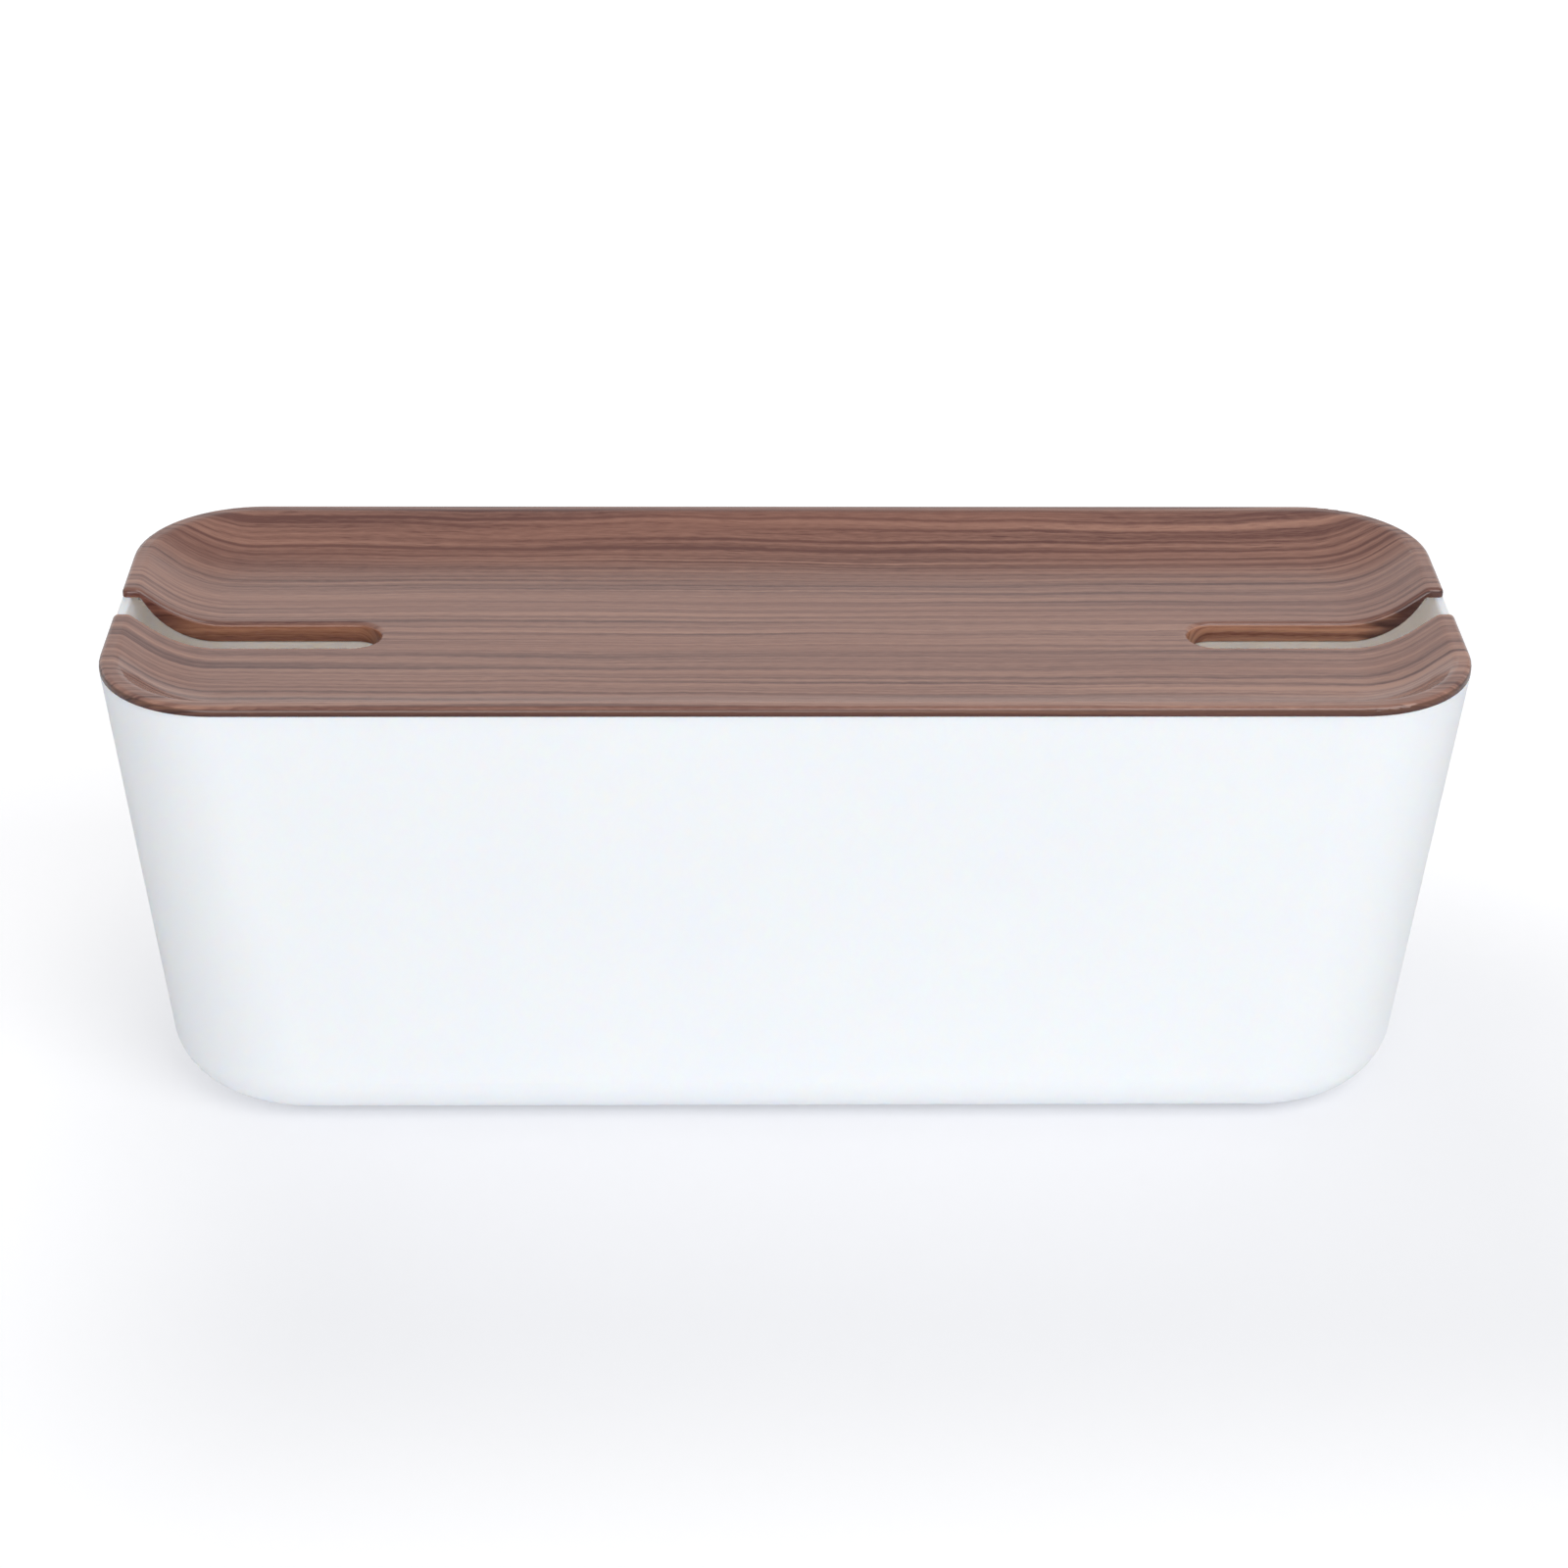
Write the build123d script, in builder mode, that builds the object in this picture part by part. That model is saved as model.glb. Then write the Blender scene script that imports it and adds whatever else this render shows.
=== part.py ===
"""Cable management box: a tapered open tub on four soft feet, under a dished lift-off lid.

Millimetres. +Z is up, +X runs along the length, the front faces -Y, and the origin is on the
floor below the middle of the box.
"""

from build123d import *
from math import cos, radians, sin, tan
import os

os.makedirs("parts", exist_ok=True)

# ---------------------------------------------------------------- overall sizes
LENGTH = 465.0               # over the lid and the tub's rim, left to right
WIDTH = 166.0                # over the lid and the tub's rim, front to back
HEIGHT = 173.0               # floor to the crest of the lid's rim
TOP_CORNER = 42.5            # plan radius of the lid's and the rim's corners

# ---------------------------------------------------------------- feet
FOOT_RADIUS = 7.0
FOOT_THICKNESS = 2.4
FOOT_SEAT = 1.2              # depth of the seat that holds a foot under the tub
FOOT_ROUND = 0.6             # rounding of a foot's lower edge
FOOT_CLEARANCE = 0.15        # gap between a foot's side and its seat
FOOT_MARGIN = 3.0            # from a foot's edge to the start of the rounded bottom

# ---------------------------------------------------------------- tub
TUB_TAPER = 13.0             # how far each wall leans in from the rim to the base
TUB_BASE_CORNER = 54.0       # plan radius of the corners at the base
TUB_BASE_ROUND = 20.0        # rounding between the walls and the base
TUB_WALL = 3.2
TUB_FLOOR = 3.2
RIM_OUTER_ROUND = 0.6
RIM_INNER_ROUND = 1.0
GATE_RADIUS = 4.0            # moulding gate's dimple in the middle of the base
GATE_DEPTH = 0.4

# ---------------------------------------------------------------- lid
LID_EDGE = 3.2               # height of the lid's outer edge, which sits on the tub's rim
LID_SHELL = 2.4              # thickness of the dish
TRAY_DEPTH = 13.2            # from the crest down to the tray's flat floor
RIM_LAND = 5.6               # from the lid's edge to where the cove's slope starts
COVE_SLOPE = 37.0            # steepest part of the cove, degrees from the horizontal
COVE_RADIUS = 38.0           # hollow curve from that slope to the tray's floor
CREST_RADIUS = 4.0           # round-over from the rim's land into the cove
LID_EDGE_ROUND = 1.9         # soft top edge, round the rim and both slots
PLATE_LAP = 2.0              # flat floor that belongs to the swept rim

# ---------------------------------------------------------------- cable slots in the lid
SLOT_WIDTH = 19.0
SLOT_REACH = 90.8            # from the lid's end to the slot's round inner end
SLOT_MOUTH_ROUND = 2.0       # plan rounding where a slot opens through the rim
FLANGE_WALL = 2.0
FLANGE_DROP = 7.7            # below the tray's floor
FLANGE_SLOPE = 58.0
FLANGE_RADIUS = 28.0         # curve of the flange's lower edge
FLANGE_START = 5.3           # from the lid's end to where the flange leaves the rim
FLANGE_EDGE_ROUND = 0.8      # on both sides of the flange's lower edge

# ---------------------------------------------------------------- locating ribs under the lid
RIB_LENGTH = 16.0
RIB_WALL = 1.6
RIB_DROP = 5.0               # below the tub's rim
RIB_CLEARANCE = 0.5          # to the tub's wall at the rib's tip
RIB_SIDE_SPACING = 190.0     # between the two ribs on a long side

# ---------------------------------------------------------------- worked-out levels and places
FOOT_STAND = FOOT_THICKNESS - FOOT_SEAT
BASE_Z = FOOT_STAND
RIM_Z = HEIGHT - LID_EDGE
FLOOR_Z = BASE_Z + TUB_FLOOR
WALL_LEAN = TUB_TAPER / (RIM_Z - BASE_Z)
CORNER_GROWTH = (TUB_BASE_CORNER - TOP_CORNER) / (RIM_Z - BASE_Z)

FOOT_REACH = TUB_BASE_CORNER - TUB_BASE_ROUND - FOOT_RADIUS - FOOT_MARGIN
FOOT_X = LENGTH / 2 - TUB_TAPER - TUB_BASE_CORNER + FOOT_REACH * cos(radians(45))
FOOT_Y = WIDTH / 2 - TUB_TAPER - TUB_BASE_CORNER + FOOT_REACH * sin(radians(45))
FOOT_PLACES = {
    "foot_front_left": (-FOOT_X, -FOOT_Y),
    "foot_front_right": (FOOT_X, -FOOT_Y),
    "foot_rear_left": (-FOOT_X, FOOT_Y),
    "foot_rear_right": (FOOT_X, FOOT_Y),
}


def tub_outline(height, inset):
    """Draw the tub's rounded outline at a height, the given distance inside its outer face."""
    drop = RIM_Z - height
    lean = 2 * (WALL_LEAN * drop + inset)
    corner = TOP_CORNER + CORNER_GROWTH * drop - inset
    return RectangleRounded(LENGTH - lean, WIDTH - lean, corner)


def leaning_block(base_z, inset, base_round):
    """Make a block from a level up to the rim, with the tub's lean and a rounded base."""
    with BuildPart() as block:
        for height in (base_z, RIM_Z):
            with BuildSketch(Plane.XY.offset(height)):
                tub_outline(height, inset)
        loft(ruled=True)
        fillet(block.faces().sort_by(Axis.Z)[0].edges(), base_round)
    return block.part


# ---------------------------------------------------------------- the tub
with BuildPart() as tub:
    add(leaning_block(BASE_Z, 0, TUB_BASE_ROUND))
    add(leaning_block(FLOOR_Z, TUB_WALL, TUB_BASE_ROUND - TUB_WALL), mode=Mode.SUBTRACT)

    # Softened rim, which the lid's edge rests on.
    fillet(tub.faces().sort_by(Axis.Z)[-1].outer_wire().edges(), RIM_OUTER_ROUND)
    fillet(tub.faces().sort_by(Axis.Z)[-1].inner_wires()[0].edges(), RIM_INNER_ROUND)

    # Seats for the feet, and the gate's dimple.
    with BuildSketch(Plane.XY.offset(BASE_Z)):
        with Locations(*FOOT_PLACES.values()):
            Circle(FOOT_RADIUS + FOOT_CLEARANCE)
    extrude(amount=FOOT_SEAT, mode=Mode.SUBTRACT)
    with BuildSketch(Plane.XY.offset(BASE_Z)):
        Circle(GATE_RADIUS)
    extrude(amount=GATE_DEPTH, mode=Mode.SUBTRACT)

tub.part.label = "box_body"
export_step(tub.part, "parts/box_body.step")


# ---------------------------------------------------------------- the feet
def make_foot(place):
    """Make one soft round foot, flat on the floor and flat against its seat."""
    with BuildPart() as foot:
        with BuildSketch(Plane.XY):
            with Locations(place):
                Circle(FOOT_RADIUS)
        extrude(amount=FOOT_THICKNESS)
        fillet(foot.edges().filter_by(GeomType.CIRCLE).sort_by(Axis.Z)[0], FOOT_ROUND)
    return foot


for name, place in FOOT_PLACES.items():
    foot = make_foot(place)
    foot.part.label = name
    export_step(foot.part, f"parts/{name}.step")


# ---------------------------------------------------------------- the lid
# In the lid's profiles, x is measured in from the lid's end and y up from its crest.
LID_END = Plane((LENGTH / 2, 0, HEIGHT), x_dir=(-1, 0, 0), z_dir=(0, 1, 0))
COVE_FOOT = RIM_LAND + TRAY_DEPTH / tan(radians(COVE_SLOPE))
COVE_END = COVE_FOOT + COVE_RADIUS * tan(radians(COVE_SLOPE / 2))
RING_END = COVE_END + PLATE_LAP
SLOT_OVERRUN = SLOT_WIDTH    # past the lid's end, so that the cut opens straight through the rim
SLOT_MIDDLE = (LENGTH - SLOT_REACH + SLOT_OVERRUN) / 2
SLOT_PLACES = [(-SLOT_MIDDLE, 0), (SLOT_MIDDLE, 0)]
RIB_INSET = TUB_WALL + WALL_LEAN * RIB_DROP + RIB_CLEARANCE + RIB_WALL / 2
RIB_END_PLACE = (SLOT_WIDTH / 2 + FLANGE_WALL + WIDTH / 2 - TOP_CORNER) / 2


def cove_below(depth, level):
    """Give the point where the cove's slope, moved down into the shell, meets a level."""
    shift = depth / sin(radians(COVE_SLOPE))
    return (RIM_LAND - level / tan(radians(COVE_SLOPE)) - shift, level)


def round_corner(sketch, corner, radius):
    """Round the sketch's corner that stands at a point."""
    fillet(sketch.vertices().sort_by_distance(corner)[0], radius)


# One slot's flange: a U-shaped wall, its lower edge rounded and curved up to clear the tub's wall.
with BuildPart() as flange:
    flange_low = -TRAY_DEPTH - FLANGE_DROP
    flange_top = -TRAY_DEPTH - LID_SHELL / 2
    flange_root = -LID_EDGE + LID_SHELL / 4
    flange_far = SLOT_REACH + 2 * FLANGE_WALL
    flange_sweep = FLANGE_START + (flange_root - flange_low) / tan(radians(FLANGE_SLOPE))
    with BuildSketch(LID_END) as side:
        with BuildLine():
            Polyline(
                (FLANGE_START, flange_root),
                (flange_sweep, flange_low),
                (flange_far, flange_low),
                (flange_far, flange_top),
                cove_below(LID_SHELL / 2, flange_top),
                cove_below(LID_SHELL / 2, flange_root),
                close=True,
            )
        make_face()
        round_corner(side, (flange_sweep, flange_low), FLANGE_RADIUS)
        round_corner(side, cove_below(LID_SHELL / 2, flange_top), COVE_RADIUS + LID_SHELL / 2)
    extrude(amount=SLOT_WIDTH, both=True)
    with BuildSketch(Plane.XY.offset(HEIGHT)):
        with Locations(SLOT_PLACES[1]):
            SlotOverall(SLOT_REACH + SLOT_OVERRUN + 2 * FLANGE_WALL, SLOT_WIDTH + 2 * FLANGE_WALL)
            SlotOverall(SLOT_REACH + SLOT_OVERRUN, SLOT_WIDTH, mode=Mode.SUBTRACT)
    extrude(amount=-HEIGHT, mode=Mode.INTERSECT)
    lower_bends = flange.edges().filter_by(GeomType.CIRCLE).group_by(Axis.Z)[0]
    fillet(lower_bends, FLANGE_EDGE_ROUND)

with BuildPart() as lid:
    # Rim and cove, carried round the lid as one section.
    with BuildLine(Plane.XY.offset(HEIGHT)) as rim_path:
        FilletPolyline(
            (LENGTH / 2, 0),
            (LENGTH / 2, WIDTH / 2),
            (-LENGTH / 2, WIDTH / 2),
            (-LENGTH / 2, 0),
            radius=TOP_CORNER,
        )
        mirror(about=Plane.XZ)
    with BuildSketch(LID_END) as rim:
        with BuildLine():
            Polyline(
                (0, -LID_EDGE),
                (0, 0),
                (RIM_LAND, 0),
                (COVE_FOOT, -TRAY_DEPTH),
                (RING_END, -TRAY_DEPTH),
                (RING_END, -TRAY_DEPTH - LID_SHELL),
                cove_below(LID_SHELL, -TRAY_DEPTH - LID_SHELL),
                cove_below(LID_SHELL, -LID_EDGE),
                close=True,
            )
        make_face()
        round_corner(rim, (RIM_LAND, 0), CREST_RADIUS)
        round_corner(rim, (COVE_FOOT, -TRAY_DEPTH), COVE_RADIUS)
        round_corner(rim, cove_below(LID_SHELL, -TRAY_DEPTH - LID_SHELL), COVE_RADIUS + LID_SHELL)
    sweep(path=rim_path.wire())

    # The tray's flat floor.
    with BuildSketch(Plane.XY.offset(HEIGHT - TRAY_DEPTH)):
        RectangleRounded(LENGTH - 2 * RING_END, WIDTH - 2 * RING_END, TOP_CORNER - RING_END)
    extrude(amount=-LID_SHELL)

    # Both flanges, then the slots cut through the dish and the rim, flush with the flanges' walls.
    add(flange.part)
    mirror(flange.part, about=Plane.YZ)
    with BuildSketch(Plane.XY.offset(HEIGHT)):
        with Locations(*SLOT_PLACES):
            SlotOverall(SLOT_REACH + SLOT_OVERRUN, SLOT_WIDTH)
    extrude(amount=-HEIGHT, mode=Mode.SUBTRACT)

    # Locating ribs just inside the tub's rim.
    with BuildSketch(Plane.XY.offset(RIM_Z)):
        with GridLocations(RIB_SIDE_SPACING, WIDTH - 2 * RIB_INSET, 2, 2):
            Rectangle(RIB_LENGTH, RIB_WALL)
        with GridLocations(LENGTH - 2 * RIB_INSET, 2 * RIB_END_PLACE, 2, 2):
            Rectangle(RIB_WALL, RIB_LENGTH)
    extrude(amount=-RIB_DROP)

    # Rounded slot mouths, then one soft edge that runs round the rim and both slots.
    mouths = lid.edges().filter_by(Axis.Z).filter_by_position(Axis.Y, -SLOT_WIDTH, SLOT_WIDTH)
    fillet(mouths.group_by(Axis.X)[0] + mouths.group_by(Axis.X)[-1], SLOT_MOUTH_ROUND)
    crest = lid.edges().filter_by_position(Axis.Z, HEIGHT, HEIGHT).sort_by(Axis.Y)[0]
    fillet(crest, LID_EDGE_ROUND)

lid.part.label = "lid"
export_step(lid.part, "parts/lid.step")
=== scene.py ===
"""Finishes, feet, light and camera for the cable management box.

Metres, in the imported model's frame: +Z is up, +X runs along the length, the front faces -Y and the
origin is on the floor below the middle of the box. Patterns are laid out in millimetres.
"""

import logging
import math
from dataclasses import dataclass, field
from enum import Enum
from typing import Callable

import bpy
from mathutils import Matrix, Vector

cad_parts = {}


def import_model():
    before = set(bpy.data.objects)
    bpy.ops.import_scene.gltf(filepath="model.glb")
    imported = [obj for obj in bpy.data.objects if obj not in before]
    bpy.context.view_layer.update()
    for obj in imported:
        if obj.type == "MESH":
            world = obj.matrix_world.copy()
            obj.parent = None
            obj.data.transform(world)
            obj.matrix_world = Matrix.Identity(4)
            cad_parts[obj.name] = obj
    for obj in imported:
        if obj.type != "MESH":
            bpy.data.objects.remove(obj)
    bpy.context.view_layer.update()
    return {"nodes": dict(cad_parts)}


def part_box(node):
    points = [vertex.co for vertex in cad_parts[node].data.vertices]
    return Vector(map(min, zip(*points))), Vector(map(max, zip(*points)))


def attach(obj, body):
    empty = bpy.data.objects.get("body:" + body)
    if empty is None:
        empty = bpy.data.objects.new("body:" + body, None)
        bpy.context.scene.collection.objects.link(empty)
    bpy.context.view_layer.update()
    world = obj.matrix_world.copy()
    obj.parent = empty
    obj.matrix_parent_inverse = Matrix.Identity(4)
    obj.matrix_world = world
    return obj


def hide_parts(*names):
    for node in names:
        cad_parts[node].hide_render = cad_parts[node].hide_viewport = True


LOG = logging.getLogger("cable_box")
MM = 0.001
FRAME_WIDTH_PX = 1600
SENSOR_WIDTH_MM = 36.0

Colour = tuple[float, float, float]
Point = tuple[float, float, float]
Span = tuple[float, float]

WHITE: Colour = (1.0, 1.0, 1.0)
BLACK: Colour = (0.0, 0.0, 0.0)


# ------------------------------------------------------------------------------- shader tools
class Channel(Enum):
    """Which of a vector's three parts is wanted."""

    X = 0
    Y = 1
    Z = 2


class Signal:
    """One output socket of a material, which takes part in Python arithmetic."""

    def __init__(self, bench: "Bench", socket: bpy.types.NodeSocket) -> None:
        """Wrap an output socket, with the bench that adds the nodes."""
        self.bench = bench
        self.socket = socket

    def _math(self, operation: str, *values: "Signal | float") -> "Signal":
        """Add one Math node and return its value."""
        node = self.bench.add("ShaderNodeMath", {"operation": operation}, dict(enumerate(values)))
        return Signal(self.bench, node.outputs[0])

    def __add__(self, other: "Signal | float") -> "Signal":
        """Add."""
        return self._math("ADD", self, other)

    def __sub__(self, other: "Signal | float") -> "Signal":
        """Subtract."""
        return self._math("SUBTRACT", self, other)

    def __rsub__(self, other: float) -> "Signal":
        """Subtract from a number."""
        return self._math("SUBTRACT", other, self)

    def __mul__(self, other: "Signal | float") -> "Signal":
        """Multiply."""
        return self._math("MULTIPLY", self, other)

    def __pow__(self, other: float) -> "Signal":
        """Raise to a power."""
        return self._math("POWER", self, other)

    def __gt__(self, other: "Signal | float") -> "Signal":
        """Give 1 where this value is the larger, else 0."""
        return self._math("GREATER_THAN", self, other)

    def __neg__(self) -> "Signal":
        """Turn the sign round."""
        return self._math("MULTIPLY", self, -1.0)

    def __abs__(self) -> "Signal":
        """Drop the sign."""
        return self._math("ABSOLUTE", self)

    __radd__ = __add__
    __rmul__ = __mul__

    def fraction(self) -> "Signal":
        """Give what is left over the whole number."""
        return self._math("FRACT", self)

    def whole(self) -> "Signal":
        """Round down."""
        return self._math("FLOOR", self)

    def root(self) -> "Signal":
        """Take the square root."""
        return self._math("SQRT", self)

    def at_least(self, other: "Signal | float") -> "Signal":
        """Give the larger of two values."""
        return self._math("MAXIMUM", self, other)

    def step(self, start: float, end: float) -> "Signal":
        """Rise smoothly from 0 at start to 1 at end.

        Args:
            start: The value where the rise starts.
            end: The value where it ends, which may be below start for a fall.

        Returns:
            The smooth step.
        """
        settings = {"interpolation_type": "SMOOTHSTEP"}
        low, high = (start, end) if start < end else (end, start)
        node = self.bench.add("ShaderNodeMapRange", settings, {0: self, 1: low, 2: high})
        rise = Signal(self.bench, node.outputs[0])
        return rise if start < end else 1 - rise


class Bench:
    """A node tree with one surface output, and the one way in which nodes are added to it."""

    def __init__(self, owner: "bpy.types.Material | bpy.types.World", output: str) -> None:
        """Empty the owner's tree down to its output.

        Args:
            owner: The material or the world.
            output: The type of its output node.
        """
        owner.use_nodes = True
        self.owner = owner
        self.tree = owner.node_tree
        self.tree.nodes.clear()
        self.output = self.add(output, {}, {})

    @classmethod
    def for_material(cls, name: str) -> "Bench":
        """Start a material."""
        return cls(bpy.data.materials.new(name), "ShaderNodeOutputMaterial")

    @classmethod
    def for_world(cls, name: str) -> "Bench":
        """Start a world."""
        return cls(bpy.data.worlds.new(name), "ShaderNodeOutputWorld")

    def add(self, kind: str, settings: dict, sockets: dict) -> bpy.types.Node:
        """Add one node.

        Args:
            kind: The node's type.
            settings: Its own settings; "stops" gives a ramp's (position, colour) pairs.
            sockets: Values or links by the input's name or number.

        Returns:
            The node.
        """
        node = self.tree.nodes.new(kind)
        for key, value in settings.items():
            if key == "stops":
                self._set_stops(node.color_ramp, value)
            else:
                setattr(node, key, value)
        for key, value in sockets.items():
            if isinstance(value, Signal):
                self.tree.links.new(value.socket, node.inputs[key])
            elif isinstance(value, bpy.types.NodeSocket):
                self.tree.links.new(value, node.inputs[key])
            else:
                node.inputs[key].default_value = value
        return node

    @staticmethod
    def _set_stops(ramp: bpy.types.ColorRamp, stops: list[tuple[float, Colour]]) -> None:
        """Give a ramp its stops.

        Args:
            ramp: The ramp.
            stops: The (position, colour) pairs.
        """
        while len(ramp.elements) < len(stops):
            ramp.elements.new(1.0)
        for element, (position, colour) in zip(ramp.elements, stops):
            element.position = position
            element.color = (*colour, 1.0)

    def place_mm(self) -> bpy.types.NodeSocket:
        """Give the point on the piece, in millimetres.

        Returns:
            The point's socket.
        """
        where = self.add("ShaderNodeTexCoord", {}, {})
        sockets = {0: where.outputs["Object"], "Scale": 1 / MM}
        return self.add("ShaderNodeVectorMath", {"operation": "SCALE"}, sockets).outputs[0]

    def facing(self) -> bpy.types.NodeSocket:
        """Give the surface's direction in the piece's own space."""
        return self.add("ShaderNodeTexCoord", {}, {}).outputs["Normal"]

    def parts(self, vector: bpy.types.NodeSocket) -> dict[Channel, Signal]:
        """Split a vector into its three parts, by channel."""
        node = self.add("ShaderNodeSeparateXYZ", {}, {0: vector})
        return {channel: Signal(self, node.outputs[channel.value]) for channel in Channel}

    def point(
        self, x: "Signal | float", y: "Signal | float", z: "Signal | float"
    ) -> bpy.types.NodeSocket:
        """Join three values into a vector."""
        return self.add("ShaderNodeCombineXYZ", {}, {0: x, 1: y, 2: z}).outputs[0]

    def noise(
        self, vector: bpy.types.NodeSocket, scale: float = 1.0, detail: float = 1.0
    ) -> Signal:
        """Add soft noise from 0 to 1, about 0.5, with a number of finer layers as its detail."""
        sockets = {"Vector": vector, "Scale": scale, "Detail": detail, "Roughness": 0.5}
        return Signal(self, self.add("ShaderNodeTexNoise", {}, sockets).outputs[0])

    def blend(
        self,
        share: Signal,
        first: "bpy.types.NodeSocket | Colour",
        second: "bpy.types.NodeSocket | Colour",
    ) -> bpy.types.NodeSocket:
        """Blend two colours.

        Args:
            share: How much of the second colour shows.
            first: The colour at 0.
            second: The colour at 1.

        Returns:
            The blended colour's socket.
        """
        first, second = ((*c, 1.0) if isinstance(c, tuple) else c for c in (first, second))
        node = self.add("ShaderNodeMix", {"data_type": "RGBA"}, {0: share, 6: first, 7: second})
        return node.outputs[2]

    def tint(self, share: Signal, colour: bpy.types.NodeSocket, by: Colour) -> bpy.types.NodeSocket:
        """Multiply a colour.

        Args:
            share: How much of the change shows.
            colour: The colour's socket.
            by: The factors for red, green and blue.

        Returns:
            The changed colour's socket.
        """
        settings = {"data_type": "RGBA", "blend_type": "MULTIPLY"}
        sockets = {0: share, 6: colour, 7: (*by, 1.0)}
        return self.add("ShaderNodeMix", settings, sockets).outputs[2]

    def ramp(self, value: Signal, stops: list[tuple[float, Colour]]) -> bpy.types.NodeSocket:
        """Turn a value from 0 to 1 into a colour, by (position, colour) pairs."""
        return self.add("ShaderNodeValToRGB", {"stops": stops}, {0: value}).outputs[0]

    def bump(
        self, height: Signal, depth_mm: float, under: bpy.types.NodeSocket | None = None
    ) -> bpy.types.NodeSocket:
        """Add relief.

        Args:
            height: The relief from 0 to 1.
            depth_mm: How deep it is.
            under: The relief that it lies on.

        Returns:
            The socket for a shader's Normal.
        """
        sockets = {"Height": height, "Distance": depth_mm * MM, "Strength": 1.0}
        if under is not None:
            sockets["Normal"] = under
        return self.add("ShaderNodeBump", {}, sockets).outputs[0]

    def finish(self, sockets: dict) -> bpy.types.Material:
        """Close the material with one Principled shader, from its values and links."""
        return self.close(self.add("ShaderNodeBsdfPrincipled", {}, sockets))

    def close(self, shader: bpy.types.Node) -> "bpy.types.Material | bpy.types.World":
        """Link the last shader to the output and return the owner."""
        self.tree.links.new(shader.outputs[0], self.output.inputs["Surface"])
        return self.owner


# ------------------------------------------------------------------------------- finishes
@dataclass(frozen=True)
class GrainLayer:
    """One layer of the printed grain: soft streaks drawn out along the wood."""

    width_mm: float
    run_mm: float
    strength: float
    seed: float

    def draw(self, bench: Bench, along: Signal, line: Signal) -> Signal:
        """Draw the layer's tone, about 0, at a place along and across the grain in millimetres."""
        where = bench.point(along * (1 / self.run_mm), line * (1 / self.width_mm), self.seed)
        return (bench.noise(where, detail=0.0) - 0.5) * self.strength


@dataclass(frozen=True)
class Streaks:
    """Plain soft noise, which can be drawn out along the wood."""

    along_per_mm: float
    across_per_mm: float
    seed: float
    detail: float = 1.0

    def draw(self, bench: Bench, along: Signal, across: Signal) -> Signal:
        """Draw the noise, from 0 to 1, at a place along and across the streaks in millimetres."""
        where = bench.point(along * self.along_per_mm, across * self.across_per_mm, self.seed)
        return bench.noise(where, detail=self.detail)


@dataclass(frozen=True)
class LineShift:
    """A wave in the grain's lines, which can be stronger or weaker at the rear."""

    wave: Streaks
    shift_mm: float
    rear_more_mm: float

    def draw(self, bench: Bench, along: Signal, across: Signal, rear: Signal) -> Signal:
        """Give how far the lines move across the grain, in millimetres; rear is 1 at the rear."""
        wave = self.wave.draw(bench, along, across) - 0.5
        return wave * (self.shift_mm + rear * self.rear_more_mm)


@dataclass(frozen=True)
class RingLayer:
    """One layer of growth rings: dark lines, each with its own strength, at an uneven spacing."""

    spacing_mm: float
    run_mm: float
    strength: float
    seed: float
    unevenness: float = 3.4
    thinness: float = 0.4
    wander_per_mm: float = 0.0012
    wander_per_ring: float = 0.16
    ring_apart: float = 3.71
    vigour_range: Span = (0.22, 0.78)

    def draw(self, bench: Bench, along: Signal, line: Signal) -> Signal:
        """Draw the rings.

        Args:
            bench: The material's bench.
            along: The place along the grain, in millimetres.
            line: The place across it, in millimetres.

        Returns:
            The layer's tone: 0 between the rings and below 0 on them.
        """
        across_per_mm = self.wander_per_ring / self.spacing_mm
        where = bench.point(along * self.wander_per_mm, line * across_per_mm, self.seed)
        phase = line * (1 / self.spacing_mm) + bench.noise(where, detail=1.0) * self.unevenness
        dark = 1 - abs(phase.fraction() - 0.5) * 2
        own = bench.point(along * (1 / self.run_mm), phase.whole() * self.ring_apart, self.seed)
        vigour = bench.noise(own, detail=1.0).step(*self.vigour_range)
        return dark.step(self.thinness, 1.0) * vigour * -self.strength


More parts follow.
